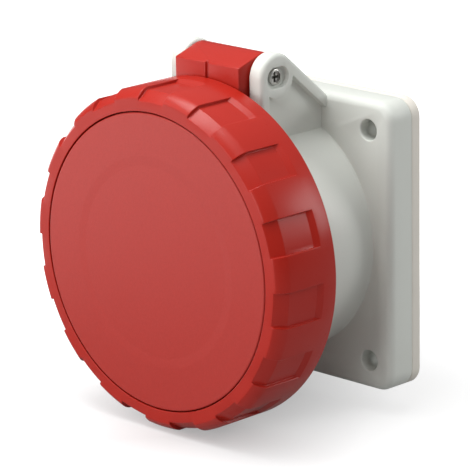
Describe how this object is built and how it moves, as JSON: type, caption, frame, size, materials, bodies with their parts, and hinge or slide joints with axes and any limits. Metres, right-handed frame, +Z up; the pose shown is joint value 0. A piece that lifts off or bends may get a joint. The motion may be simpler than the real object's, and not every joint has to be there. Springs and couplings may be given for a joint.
{
  "type": "industrial panel socket",
  "caption": "Straight industrial power socket for panel mounting: square grey flange, round barrel, and a red lid hinged at the top with a turning bayonet locking ring.",
  "frame": {"origin": "on the socket's axis, in the plane of the panel, which is the gasket's back face", "axes": "+Y back into the panel along the socket's axis, -Y towards the plug, +Z up towards the hinge, +X to the right as seen from the front"},
  "size_m": [0.0874, 0.0705, 0.0941],
  "materials": {
    "grey_plastic": "light grey moulded polyamide, satin",
    "red_plastic": "red moulded polyamide, satin",
    "red_textured": "red moulded polyamide, fine spark texture",
    "gasket_foam": "warm off-white elastomer",
    "black_rubber": "black nitrile rubber",
    "insert_plastic": "dark grey moulded polyamide",
    "contact_brass": "turned brass",
    "steel": "zinc-plated steel"
  },
  "bodies": {
    "housing": {"housing": "grey_plastic", "flange_gasket": "gasket_foam", "contact_carrier": "insert_plastic", "carrier_plate": "insert_plastic", "terminal_block": "insert_plastic", "carrier_seal": "black_rubber", "carrier_screws": "steel", "block_screw": "steel", "earth_contact": "contact_brass", "neutral_contact": "contact_brass", "line_1_contact": "contact_brass", "line_2_contact": "contact_brass", "line_3_contact": "contact_brass", "contact_springs": "steel", "terminal_screws": "steel", "hinge_pin": "steel", "barrel_lugs": "grey_plastic"},
    "lid": {"lid_body": "red_plastic", "lid_disc": "red_textured", "lid_seal": "black_rubber", "lid_screws": "steel"},
    "ring": {"locking_ring": "red_plastic", "ring_lugs": "red_plastic"}
  },
  "joints": [
    {"name": "lid_swing", "type": "hinge", "parent": "housing", "child": "lid", "pos_m": [0, -0.0284, 0.0443], "axis": [-1, 0, 0], "range_deg": [0, 150]},
    {"name": "ring_turn", "type": "hinge", "parent": "lid", "child": "ring", "pos_m": [0, -0.047, 0], "axis": [0, 1, 0], "range_deg": [0, 30]}
  ]
}
